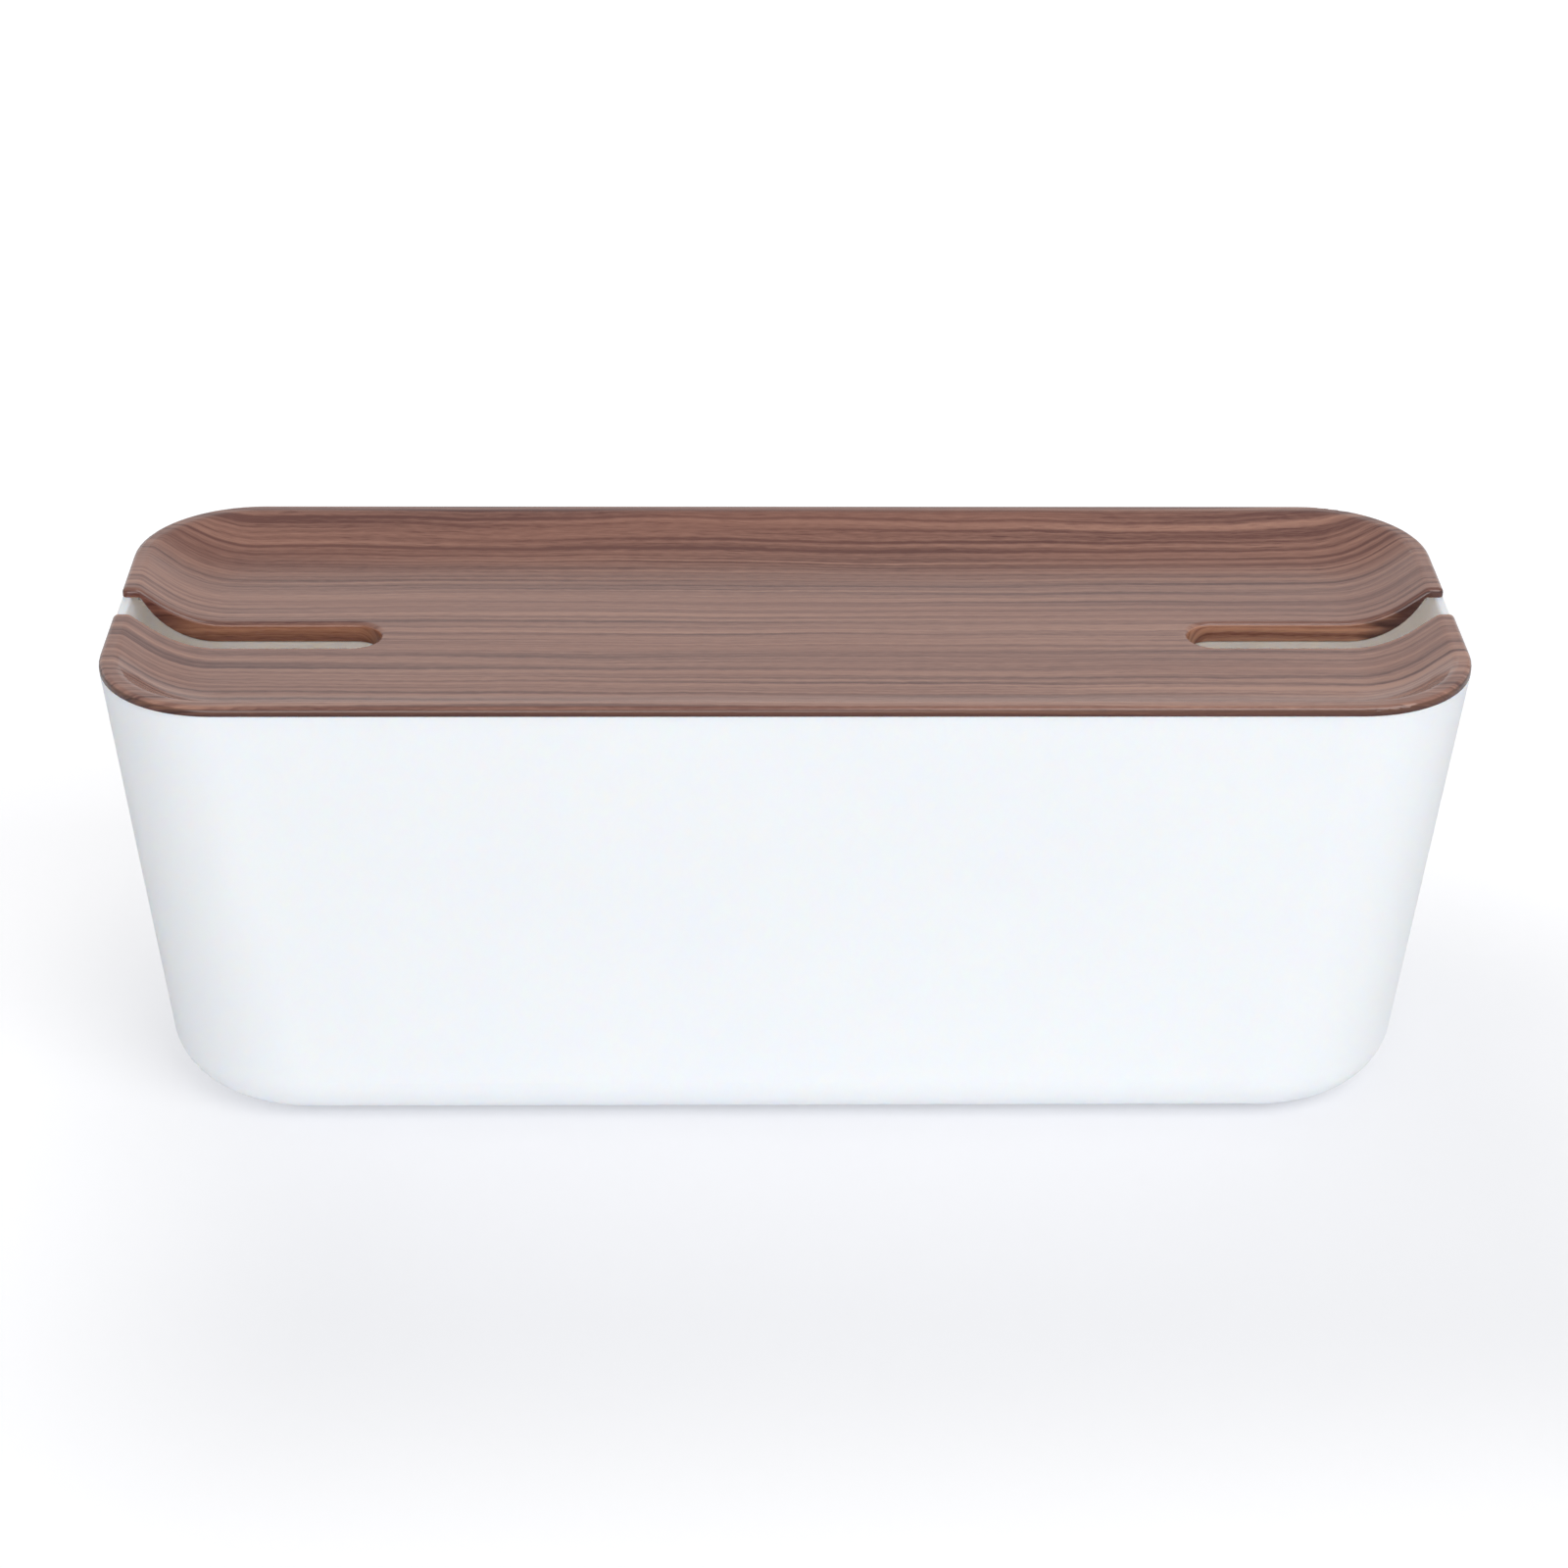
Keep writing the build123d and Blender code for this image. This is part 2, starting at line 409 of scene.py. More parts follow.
@dataclass(frozen=True)
class WalnutPrint:
    """Satin film with a printed walnut grain over the lid, and the bare ivory moulding below it."""

    crest_mm: float
    rim_mm: float
    slot_centre_mm: float
    film_reach_mm: float = 10.4
    dark: Colour = (0.105, 0.033, 0.024)
    middle: Colour = (0.256, 0.122, 0.087)
    light: Colour = (0.408, 0.213, 0.149)
    # Painted light: the walls inside the slots are made lighter and more orange, the right slot's
    # walls lighter again.
    wall_light_tint: Colour = (1.30, 1.16, 0.94)
    right_wall_light_tint: Colour = (1.16, 1.28, 1.38)
    # Painted shade: the rim's outer edge is darkened.
    rim_shade_tint: Colour = (0.44, 0.36, 0.29)
    # Darker, purpler foot of the outer edge: painted contact shadow where the lid meets the tub, and
    # the film's darker lower edge.
    hem_shadow_and_film_tint: Colour = (0.70, 0.66, 0.95)
    # Dark right end of the slot walls: partly the print's darker streaks, partly painted shade.
    end_print_and_shade_tint: Colour = (0.22, 0.19, 0.24)
    # Painted shade on the left slot's outer tip.
    tip_shade_tint: Colour = (0.50, 0.42, 0.50)
    contrast: float = 0.70
    moulding: Colour = (0.90, 0.86, 0.79)
    layers: tuple[GrainLayer | RingLayer, ...] = (
        GrainLayer(34.0, 700.0, 0.48, 3.3),
        GrainLayer(14.0, 500.0, 0.36, 7.1),
        GrainLayer(3.4, 300.0, 0.70, 4.4),
        GrainLayer(2.2, 380.0, 1.00, 9.4),
        GrainLayer(1.1, 130.0, 0.90, 5.2),
        RingLayer(4.3, 260.0, 0.62, 1.7, thinness=0.40),
        RingLayer(7.1, 240.0, 0.58, 6.3, thinness=0.50),
    )
    rear_rings: RingLayer = RingLayer(3.6, 320.0, 1.05, 8.8, unevenness=2.4, thinness=0.50)
    shifts: tuple[LineShift, ...] = (
        LineShift(Streaks(0.0035, 0.012, 0.3), 9.0, 5.0),
        LineShift(Streaks(0.014, 0.032, 7.9), 4.2, 0.8),
        LineShift(Streaks(0.16, 0.45, 2.2, detail=2.0), 1.3, -0.9),
    )
    fibre: Streaks = Streaks(0.16, 2.1, 6.0, detail=2.0)
    pores: Streaks = Streaks(0.08, 1.7, 2.9)
    pore_step: Span = (0.40, 0.30)
    pore_depth: float = 0.22
    rear_pore_depth: float = 0.12
    rear_step_mm: Span = (40.0, 66.0)
    # Painted shade: the tone is lowered over the rear of the dish.
    rear_shade: float = 0.10
    rear_fade: float = 0.15
    mid_tone: float = 0.5
    tone_lift: float = 0.15
    cloud: Streaks = Streaks(0.006, 0.06, 4.7, detail=2.0)
    cloud_step: Span = (0.35, 0.75)
    cloud_share: float = 0.35
    cloud_cast: Colour = (1.08, 0.95, 0.88)
    end_wobble: Streaks = Streaks(0.05, 0.28, 1.9, detail=2.0)
    end_wobble_mm: float = 30.0
    right_end_mm: Span = (203.0, 216.0)
    left_tip_mm: Span = (202.0, 225.0)
    steep_step: Span = (0.75, 0.4)
    hem_mm: Span = (1.5, 0.2)
    pulled_step: Span = (0.52, 0.25)
    wall_stretch: float = 1.3
    upward_from: float = 0.05
    sideways_from: float = -0.3
    roughness: float = 0.33
    tone_roughness: float = 0.08
    bare_roughness: float = 0.15
    gloss: float = 1.0
    gloss_roughness: float = 0.21
    relief_mm: float = 0.035
    fibre_relief: float = 0.3
    speckle_per_mm: float = 1.7
    speckle_mm: float = 0.004

    def material(self) -> bpy.types.Material:
        """Build the finish.

        Returns:
            The lid's material.
        """
        bench = Bench.for_material("walnut_print")
        place = bench.parts(bench.place_mm())
        facing = bench.parts(bench.facing())
        along, across = self._film(place, facing)
        tone, fibre = self._grain(bench, along, across)
        in_slot, on_rim, printed = self._printed(place, facing)
        wood = bench.ramp(tone, [(0.0, self.dark), (0.5, self.middle), (1.0, self.light)])
        cloud = self.cloud.draw(bench, along, across).step(*self.cloud_step)
        wood = bench.blend(cloud * self.cloud_share, wood, self._clouded())
        steep = abs(facing[Channel.Z]).step(*self.steep_step)
        # Painted light and shade on the slot walls, painted shade on the rim's outer edge.
        wood = self._tint_walls(bench, wood, place, in_slot * steep)
        wood = self._tint_rim(bench, wood, place, on_rim * steep)
        speckle = bench.noise(bench.place_mm(), scale=self.speckle_per_mm, detail=2.0)
        relief = tone * (1 - self.fibre_relief) + fibre * self.fibre_relief
        normal = bench.bump(relief * printed, self.relief_mm)
        normal = bench.bump(speckle, self.speckle_mm, normal)
        uneven = (0.5 - tone) * self.tone_roughness + (1 - printed) * self.bare_roughness
        return bench.finish(
            {
                "Base Color": bench.blend(printed, self.moulding, wood),
                "Roughness": self.roughness + uneven,
                "IOR": 1.5,
                "Specular IOR Level": 0.0,
                "Normal": normal,
                "Coat Weight": printed * self.gloss,
                "Coat Roughness": self.gloss_roughness,
            }
        )

    def _clouded(self) -> Colour:
        """Give the middle colour its redder cast."""
        red, green, blue = (own * cast for own, cast in zip(self.middle, self.cloud_cast))
        return red, green, blue

    def _tint_walls(
        self,
        bench: Bench,
        wood: bpy.types.NodeSocket,
        place: dict[Channel, Signal],
        on_wall: Signal,
    ) -> bpy.types.NodeSocket:
        """Tint the walls inside the slots: painted light over them, more on the right, a dark right
        end that is print and painted shade, and painted shade on the left tip.

        Args:
            bench: The material's bench.
            wood: The wood's colour.
            place: The point on the lid, in millimetres.
            on_wall: 1 on the walls, else 0.

        Returns:
            The tinted colour's socket.
        """
        # Painted light on the slot walls, more on the right.
        wood = bench.tint(on_wall, wood, self.wall_light_tint)
        wood = bench.tint(on_wall * (place[Channel.X] > 0.0), wood, self.right_wall_light_tint)
        # Dark right end of the slot walls, its edge wobbled: print and painted shade.
        end_wobble = self.end_wobble.draw(bench, place[Channel.X], place[Channel.Z]) - 0.5
        at_end = (place[Channel.X] + end_wobble * self.end_wobble_mm).step(*self.right_end_mm)
        wood = bench.tint(on_wall * at_end, wood, self.end_print_and_shade_tint)
        # Painted shade: the left tip of the slot walls is darkened.
        at_shaded_tip = (-place[Channel.X]).step(*self.left_tip_mm)
        return bench.tint(on_wall * at_shaded_tip, wood, self.tip_shade_tint)

    def _tint_rim(
        self,
        bench: Bench,
        wood: bpy.types.NodeSocket,
        place: dict[Channel, Signal],
        on_edge: Signal,
    ) -> bpy.types.NodeSocket:
        """Darken the rim's outer edge with painted shade, and its hem once more with a painted
        contact shadow over the film's darker lower edge.

        Args:
            bench: The material's bench.
            wood: The wood's colour.
            place: The point on the lid, in millimetres.
            on_edge: 1 on the outer edge, else 0.

        Returns:
            The tinted colour's socket.
        """
        top, foot = (self.rim_mm + height for height in self.hem_mm)
        # Painted shade on the rim's outer edge.
        wood = bench.tint(on_edge, wood, self.rim_shade_tint)
        # Painted contact shadow and the film's darker lower edge, at the hem.
        return bench.tint(on_edge * place[Channel.Z].step(top, foot), wood, self.hem_shadow_and_film_tint)

    def _film(
        self, place: dict[Channel, Signal], facing: dict[Channel, Signal]
    ) -> tuple[Signal, Signal]:
        """Lay the film's own coordinates over the dish and pull them down its steep walls.

        Args:
            place: The point on the lid, in millimetres.
            facing: The surface's direction.

        Returns:
            The place along the grain and the place across it, in millimetres.
        """
        upright = abs(facing[Channel.Z]).step(*self.pulled_step)
        below = place[Channel.Z] - self.crest_mm
        pulled = facing[Channel.Y] * below * upright * self.wall_stretch
        return place[Channel.X], place[Channel.Y] - pulled

    def _grain(self, bench: Bench, along: Signal, across: Signal) -> tuple[Signal, Signal]:
        """Draw the bands, the growth rings, the finer lines between them and the short pores, with
        painted shade over the rear of the dish.

        Args:
            bench: The material's bench.
            along: The place along the grain.
            across: The place across it.

        Returns:
            The tone from 0, dark, to 1, light, and the fibres' relief.
        """
        rear = across.step(*self.rear_step_mm)
        line = across
        for shift in self.shifts:
            line = line + shift.draw(bench, along, across, rear)
        tone = self.rear_rings.draw(bench, along, line) * rear
        # Painted shade over the rear of the dish.
        tone = tone - rear * self.rear_shade + self.mid_tone
        for layer in self.layers:
            tone = tone + layer.draw(bench, along, line) * (1 - rear * self.rear_fade)
        fibre = self.fibre.draw(bench, along, line)
        pores = self.pores.draw(bench, along, line).step(*self.pore_step)
        tone = tone + (fibre - 0.5) - pores * (self.pore_depth + rear * self.rear_pore_depth)
        tone = tone + self.tone_lift
        return tone * self.contrast + (1 - self.contrast) / 2, fibre

    def _printed(
        self, place: dict[Channel, Signal], facing: dict[Channel, Signal]
    ) -> tuple[Signal, Signal, Signal]:
        """Mark the film: the dish's upper side, the outer edge and the walls inside the slots.

        Args:
            place: The point on the lid, in millimetres.
            facing: The surface's direction.

        Returns:
            1 about a slot, 1 on the outer edge, and 1 on all of the film, each else 0.
        """
        past_centre = (self.slot_centre_mm - abs(place[Channel.X])).at_least(0.0)
        from_slot = (past_centre ** 2.0 + place[Channel.Y] ** 2.0).root()
        sideways = facing[Channel.Z] > self.sideways_from
        in_slot = (self.film_reach_mm - from_slot) > 0.0
        on_rim = (place[Channel.Z] > self.rim_mm) * (1 - in_slot)
        upward = facing[Channel.Z] > self.upward_from
        printed = upward.at_least(sideways * in_slot.at_least(on_rim))
        return in_slot, on_rim, printed


@dataclass(frozen=True)
class WhiteMoulding:
    """Satin white plastic, whose thin walls let a little warm light through."""

    name: str = "white_moulding"
    colour: Colour = (0.965, 0.973, 0.988)
    shade: Colour = (0.957, 0.965, 0.980)
    roughness: float = 0.34
    glow_radius: Point = (1.0, 0.79, 0.63)
    glow_depth_mm: float = 20.0
    cloud_per_mm: float = 0.012
    cloud_step: Span = (0.3, 0.7)
    sink_per_mm: float = 0.045
    sink_mm: float = 0.03
    spark_per_mm: float = 2.4
    spark_mm: float = 0.003
    spark_roughness: float = 0.05
    handled_per_mm: float = 0.03
    handled_roughness: float = 0.12

    def material(self) -> bpy.types.Material:
        """Build the finish.

        Returns:
            The tub's material.
        """
        bench = Bench.for_material(self.name)
        where = bench.place_mm()
        clouds = bench.noise(where, scale=self.cloud_per_mm, detail=2.0).step(*self.cloud_step)
        sink = bench.noise(where, scale=self.sink_per_mm, detail=1.0)
        spark = bench.noise(where, scale=self.spark_per_mm, detail=2.0)
        handled = bench.noise(where, scale=self.handled_per_mm, detail=3.0)
        normal = bench.bump(sink, self.sink_mm)
        normal = bench.bump(spark, self.spark_mm, normal)
        uneven = (handled - 0.5) * self.handled_roughness + (spark - 0.5) * self.spark_roughness
        return bench.finish(
            {
                "Base Color": bench.blend(clouds, self.shade, self.colour),
                "Roughness": self.roughness + uneven,
                "IOR": 1.49,
                "Normal": normal,
                "Subsurface Weight": 1.0,
                "Subsurface Radius": self.glow_radius,
                "Subsurface Scale": self.glow_depth_mm * MM,
            }
        )


@dataclass(frozen=True)
class SoftFoot:
    """Matt grey rubber with fine dust on its tread."""

    colour: Colour = (0.34, 0.34, 0.33)
    dust: Colour = (0.52, 0.51, 0.48)
    roughness: float = 0.72
    worn_roughness: float = 0.2
    grain_per_mm: float = 3.0
    grain_mm: float = 0.02
    worn_per_mm: float = 0.35
    worn_step: Span = (0.4, 0.7)
    dust_share: float = 0.6
    dust_rise_mm: float = 0.9

    def material(self) -> bpy.types.Material:
        """Build the finish.

        Returns:
            The feet's material.
        """
        bench = Bench.for_material("soft_foot")
        where = bench.place_mm()
        grain = bench.noise(where, scale=self.grain_per_mm, detail=3.0)
        worn = bench.noise(where, scale=self.worn_per_mm, detail=3.0)
        low = bench.parts(where)[Channel.Z].step(self.dust_rise_mm, 0.0)
        dusty = worn.step(*self.worn_step) * low * self.dust_share
        return bench.finish(
            {
                "Base Color": bench.blend(dusty, self.colour, self.dust),
                "Roughness": self.roughness + (worn - 0.5) * self.worn_roughness,
                "Normal": bench.bump(grain, self.grain_mm),
            }
        )


@dataclass(frozen=True)
class FloorArea:
    """A rectangle on the floor, from which distances are taken."""

    centre_mm: tuple[float, float]
    half_mm: tuple[float, float]

    def distance(self, place: dict[Channel, Signal]) -> Signal:
        """Measure how far a point lies outside the rectangle.

        Args:
            place: The point on the floor, in millimetres.

        Returns:
            The distance in millimetres, 0 inside.
        """
        off_end = (abs(place[Channel.X] - self.centre_mm[0]) - self.half_mm[0]).at_least(0.0)
        off_side = (abs(place[Channel.Y] - self.centre_mm[1]) - self.half_mm[1]).at_least(0.0)
        return (off_end ** 2.0 + off_side ** 2.0).root()


@dataclass(frozen=True)
class StudioFloor:
    """Plain white floor, whose own glow for the camera pales to white away from the box, and is
    lower near the box and gone under its base: painted shade around and under the box.
    """

    bounced: Colour = (0.85, 0.85, 0.85)
    seen: Colour = (0.52, 0.52, 0.52)
    # Painted shade: a lower glow near the box, and none under its base, so the floor darkens there
    # as in a shadow.
    near_shade_glow: Colour = (0.408, 0.412, 0.424)
    far_glow: Colour = (0.615, 0.615, 0.62)
    near: FloorArea = FloorArea(centre_mm=(50.0, -86.0), half_mm=(190.0, 86.0))
    far_mm: float = 190.0
    horizon_mm: Span = (150.0, 1500.0)
    base: FloorArea = FloorArea(centre_mm=(0.0, 0.0), half_mm=(165.0, 16.0))
    base_inner_mm: float = 27.0
    base_outer_mm: float = 44.0
    roughness: float = 0.85
    mottle_roughness: float = 0.05
    mottle_per_mm: float = 0.02

    def material(self) -> bpy.types.Material:
        """Build the finish.

        Returns:
            The floor's material.
        """
        bench = Bench.for_material("studio_floor")
        ray = bench.add("ShaderNodeLightPath", {}, {})
        to_camera = Signal(bench, ray.outputs["Is Camera Ray"])
        where = bench.place_mm()
        place = bench.parts(where)
        mottle = bench.noise(where, scale=self.mottle_per_mm, detail=2.0)
        distance = self.near.distance(place)
        away = distance.step(0.0, self.far_mm)
        lost = distance.step(*self.horizon_mm)
        clear = self.base.distance(place).step(self.base_inner_mm, self.base_outer_mm)
        # Painted shade: the glow is lower near the box.
        glow = bench.blend(away, self.near_shade_glow, self.far_glow)
        glow = bench.blend(lost, glow, WHITE)
        # Painted contact shadow: no glow under the box's base.
        glow = bench.blend(clear, BLACK, glow)
        return bench.finish(
            {
                "Base Color": bench.blend(to_camera, self.bounced, self.seen),
                "Roughness": self.roughness + (mottle - 0.5) * self.mottle_roughness,
                "Specular IOR Level": 0.0,
                "Emission Color": bench.blend(to_camera, BLACK, glow),
                "Emission Strength": 1.0,
            }
        )


# ------------------------------------------------------------------------------- modelling tools
def select_faces(
    piece: bpy.types.Object, wanted: Callable[[bpy.types.MeshPolygon], bool]
) -> None:
    """Select the faces of a piece in edit mode that a test picks.

    Args:
        piece: The piece, in edit mode.
        wanted: A test that takes a face.
    """
    bpy.ops.mesh.select_all(action="DESELECT")
    bpy.ops.object.mode_set(mode="OBJECT")
    for face in piece.data.polygons:
        face.select = wanted(face)
    bpy.ops.object.mode_set(mode="EDIT")
    bpy.ops.mesh.select_mode(type="FACE")


def dress(piece: bpy.types.Object, *materials: bpy.types.Material) -> None:
    """Give a piece its materials, slot by slot.

    Args:
        piece: The piece.
        *materials: Its materials, in the order of its slots.
    """
    piece.data.materials.clear()
    for material in materials:
        piece.data.materials.append(material)


# ------------------------------------------------------------------------------- sub-assemblies
@dataclass
class Tub:
    """The white tub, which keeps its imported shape."""

    node: str = "box_body"
    lining: WhiteMoulding = field(default_factory=WhiteMoulding)
    # Painted shade: the outside is a darker, bluer copy of the white moulding with shallow light
    # through the walls, while the lining is the lit copy, full white with deep light through the
    # walls.
    shaded_shell: WhiteMoulding = field(
        default_factory=lambda: WhiteMoulding(
            name="white_shell_shaded",
            colour=(0.872, 0.902, 0.965),
            shade=(0.864, 0.894, 0.957),
            glow_depth_mm=3.0,
        )
    )
    axis_half_mm: float = 165.0
    axis_height_mm: float = 95.0

    def build(self, nodes: dict[str, bpy.types.Object]) -> None:
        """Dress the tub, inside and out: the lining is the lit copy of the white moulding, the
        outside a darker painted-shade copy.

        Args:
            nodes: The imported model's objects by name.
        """
        tub = nodes[self.node]
        dress(tub, self.lining.material(), self.shaded_shell.material())
        for face in tub.data.polygons:
            face.material_index = int(self._is_outside(face))
        LOG.info("%s: satin white moulding, its outside and its lining", self.node)

    def _is_outside(self, face: bpy.types.MeshPolygon) -> bool:
        """Tell whether a face looks away from the line along the tub's middle.

        Args:
            face: A face of the tub.

        Returns:
            True on the tub's outside and on its rim.
        """
        half = self.axis_half_mm * MM
        beside = max(-half, min(half, face.center.x))
        nearest = Vector((beside, 0.0, self.axis_height_mm * MM))
        return face.normal.dot(face.center - nearest) > 0.0


class Corner(Enum):
    """The tub's four corners, each with its foot's node."""

    FRONT_LEFT = "foot_front_left"
    FRONT_RIGHT = "foot_front_right"
    REAR_LEFT = "foot_rear_left"
    REAR_RIGHT = "foot_rear_right"


@dataclass
class Feet:
    """Four soft feet with a ring tread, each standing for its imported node."""

    body: str = "tub"
    slot: str = "soft_foot"
    sides: int = 72
    edge_round_mm: float = 0.6
    edge_steps: int = 5
    soft_edge_mm: float = 0.12
    soft_edge_steps: int = 2
    smooth_deg: float = 40.0
    level: float = 0.99
    touch_mm: float = 0.01
    tread_width_mm: float = 2.0
    groove_width_mm: float = 1.3
    groove_depth_mm: float = 0.5
    hub_dimple_mm: float = 1.4
    finish: SoftFoot = field(default_factory=SoftFoot)

    def build(self) -> None:
        """Model one foot, then stand a copy of it in each seat."""
        low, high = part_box(Corner.FRONT_LEFT.value)
        pattern = self._model(low, high)
        material = self.finish.material()
        for corner in Corner:
            foot = pattern.copy()
            foot.data = pattern.data.copy()
            foot.name = f"{corner.value}_pad"
            foot.data.name = foot.name
            bpy.context.scene.collection.objects.link(foot)
            near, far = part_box(corner.value)
            foot.data.transform(Matrix.Translation((near + far) / 2))
            dress(foot, material)
            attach(foot, self.body)
            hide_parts(corner.value)
            LOG.info("%s: soft pad with a ring tread", foot.name)
        bpy.data.objects.remove(pattern)

    def _model(self, low: Vector, high: Vector) -> bpy.types.Object:
        """Model one foot about the origin.

        Args:
            low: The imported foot's lowest corner.
            high: Its highest corner.

        Returns:
            The foot.
        """
        radius = (high.x - low.x) / 2
        height = high.z - low.z
        bpy.ops.object.select_all(action="DESELECT")
        bpy.ops.mesh.primitive_cylinder_add(vertices=self.sides, radius=radius, depth=height)
        foot = bpy.context.active_object
        bpy.ops.object.mode_set(mode="EDIT")
        under = -height / 2

        def is_tread(face: bpy.types.MeshPolygon) -> bool:
            """Pick the flat underside."""
            at_foot = face.center.z < under + self.touch_mm * MM
            return at_foot and face.normal.z < -self.level and len(face.vertices) > 4

        select_faces(foot, is_tread)
        bpy.ops.mesh.bevel(
            offset=self.edge_round_mm * MM, segments=self.edge_steps, affect="EDGES"
        )
        select_faces(foot, is_tread)
        bpy.ops.mesh.inset(thickness=self.tread_width_mm * MM)
        self._sink(self.groove_depth_mm)
        bpy.ops.mesh.inset(thickness=self.groove_width_mm * MM)
        self._sink(-self.groove_depth_mm)
        bpy.ops.mesh.inset(thickness=self.hub_dimple_mm * MM)
        self._sink(self.groove_depth_mm / 2)
        bpy.ops.object.mode_set(mode="OBJECT")
        soften = foot.modifiers.new("soft_edges", "BEVEL")
        soften.width = self.soft_edge_mm * MM
        soften.segments = self.soft_edge_steps
        soften.limit_method = "ANGLE"
        bpy.ops.object.modifier_apply(modifier=soften.name)
        bpy.ops.object.shade_smooth_by_angle(angle=math.radians(self.smooth_deg))
        return foot

    @staticmethod
    def _sink(depth_mm: float) -> None:
        """Push the selected face up into the foot, or down out of it."""
        move = {"value": (0, 0, depth_mm * MM)}
        bpy.ops.mesh.extrude_region_move(TRANSFORM_OT_translate=move)


@dataclass
class Lid:
    """The dished lid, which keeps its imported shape."""

    node: str = "lid"
    rim_edge_mm: float = 3.2
    slot_reach_mm: float = 90.8
    slot_width_mm: float = 19.0
    touch_mm: float = 0.01

    def build(self, nodes: dict[str, bpy.types.Object]) -> None:
        """Dress the lid with its printed film.

        Args:
            nodes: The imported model's objects by name.
        """
        _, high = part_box(self.node)
        finish = WalnutPrint(
            crest_mm=high.z / MM,
            rim_mm=high.z / MM - self.rim_edge_mm + self.touch_mm,
            slot_centre_mm=high.x / MM - self.slot_reach_mm + self.slot_width_mm / 2,
        )
        dress(nodes[self.node], finish.material())
        LOG.info("%s: printed walnut film over ivory moulding", self.node)


# ------------------------------------------------------------------------------- studio
@dataclass
class Softbox:
    """One rectangular studio lamp."""

    name: str
    place: Point
    aim: Point
    width: float
    height: float
    power: float
    colour: Colour = WHITE
    in_gloss: bool = True

    def build(self) -> None:
        """Hang the lamp and turn it to its aim."""
        data = bpy.data.lights.new(self.name, "AREA")
        data.shape = "RECTANGLE"
        data.size = self.width
        data.size_y = self.height
        data.energy = self.power
        data.color = self.colour
        lamp = bpy.data.objects.new(self.name, data)
        lamp.location = self.place
        turn = (Vector(self.aim) - Vector(self.place)).to_track_quat("-Z", "Y")
        lamp.rotation_euler = turn.to_euler()
        lamp.visible_glossy = self.in_gloss
        bpy.context.scene.collection.objects.link(lamp)


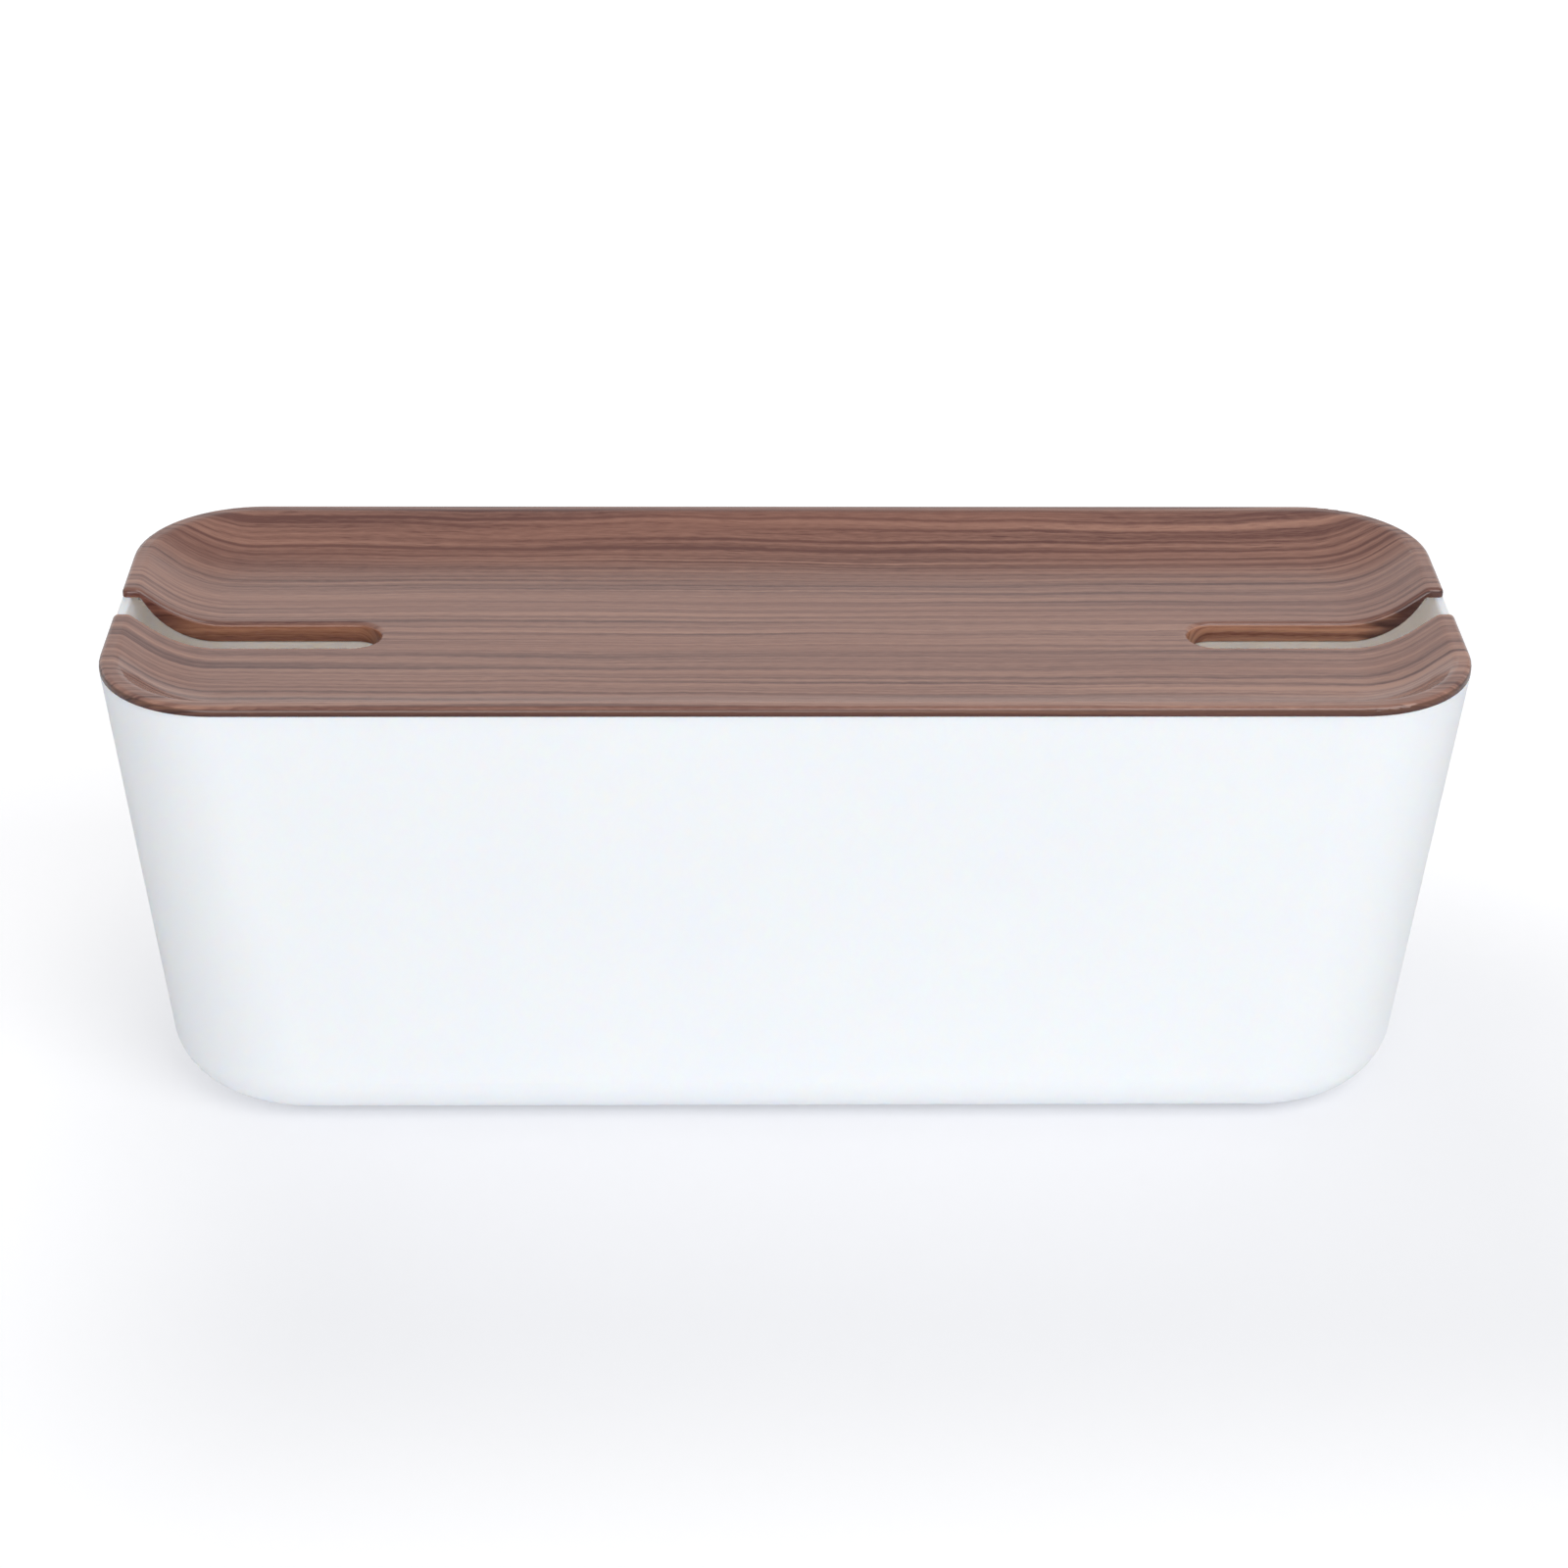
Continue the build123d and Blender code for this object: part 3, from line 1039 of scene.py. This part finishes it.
@dataclass
class Studio:
    """Floor, soft light, pale surroundings and the camera."""

    floor_side: float = 9.0
    ambient: float = 0.455
    ambient_colour: Colour = (0.96, 0.967, 1.0)
    light_bounces: int = 12
    focal_px: float = 3712.3
    pitch_deg: float = 28.05
    yaw: float = 0.0174
    roll: float = 0.0075
    distance: float = 1.3041
    target_x: float = 0.00007
    target_z: float = 0.10051
    lamps: list[Softbox] = field(
        default_factory=lambda: [
            Softbox(
                name="key_softbox",
                place=(1.75, -1.95, 2.85),
                aim=(1.75, 0.0, 0.1),
                width=3.2,
                height=1.9,
                power=64.0,
            ),
            Softbox(
                name="front_fill",
                place=(-0.9, -4.1, 0.8),
                aim=(0.0, 0.0, 0.08),
                width=2.4,
                height=2.4,
                power=64.0,
                colour=(1.0, 0.975, 0.98),
            ),
            Softbox(
                name="rear_fill",
                place=(0.2, 3.2, 0.75),
                aim=(0.0, 0.0, 0.08),
                width=5.0,
                height=1.4,
                power=43.0,
                in_gloss=False,
            ),
        ]
    )

    def build(self) -> None:
        """Set the studio up."""
        self._floor()
        self._surroundings()
        for lamp in self.lamps:
            lamp.build()
        self._camera()
        bpy.context.scene.view_settings.view_transform = "Standard"
        bpy.context.scene.cycles.diffuse_bounces = self.light_bounces
        LOG.info("studio: floor, %d lamps and a camera", len(self.lamps))

    def _floor(self) -> None:
        """Lay the floor."""
        bpy.ops.object.select_all(action="DESELECT")
        bpy.ops.mesh.primitive_plane_add(size=self.floor_side)
        floor = bpy.context.active_object
        floor.name = "studio_floor"
        dress(floor, StudioFloor().material())

    def _surroundings(self) -> None:
        """Fill the room with even light that the camera and gloss see as white."""
        bench = Bench.for_world("studio_white")
        ray = bench.add("ShaderNodeLightPath", {}, {})
        to_camera = Signal(bench, ray.outputs["Is Camera Ray"])
        to_gloss = Signal(bench, ray.outputs["Is Glossy Ray"])
        even = {"Color": (*self.ambient_colour, 1.0), "Strength": self.ambient}
        plain = {"Color": (*WHITE, 1.0), "Strength": 1.0}
        soft = bench.add("ShaderNodeBackground", {}, even)
        seen = bench.add("ShaderNodeBackground", {}, plain)
        inputs = {0: to_camera.at_least(to_gloss), 1: soft.outputs[0], 2: seen.outputs[0]}
        bpy.context.scene.world = bench.close(bench.add("ShaderNodeMixShader", {}, inputs))

    def _camera(self) -> None:
        """Stand the camera in front of the box and above it, looking down at it."""
        pitch = math.radians(self.pitch_deg)
        cos_yaw, sin_yaw = math.cos(self.yaw), math.sin(self.yaw)
        right = Vector((cos_yaw, -sin_yaw, 0.0))
        rear = Vector((sin_yaw, cos_yaw, 0.0))
        ahead = rear * math.cos(pitch) - Vector((0, 0, math.sin(pitch)))
        up = rear * math.sin(pitch) + Vector((0, 0, math.cos(pitch)))
        across = right * math.cos(self.roll) + up * math.sin(self.roll)
        upright = up * math.cos(self.roll) - right * math.sin(self.roll)
        target = right * self.target_x + Vector((0, 0, self.target_z))
        turn = Matrix((across, upright, -ahead)).transposed().to_4x4()
        data = bpy.data.cameras.new("front_camera")
        data.sensor_width = SENSOR_WIDTH_MM
        data.lens = self.focal_px / FRAME_WIDTH_PX * SENSOR_WIDTH_MM
        camera = bpy.data.objects.new("front_camera", data)
        camera.matrix_world = Matrix.Translation(target - ahead * self.distance) @ turn
        bpy.context.scene.collection.objects.link(camera)
        bpy.context.scene.camera = camera


def main() -> None:
    """Build every sub-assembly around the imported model."""
    logging.basicConfig(level=logging.INFO, format="%(name)s: %(message)s")
    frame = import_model()
    Tub().build(frame["nodes"])
    Feet().build()
    Lid().build(frame["nodes"])
    Studio().build()


if __name__ == "__main__":
    main()
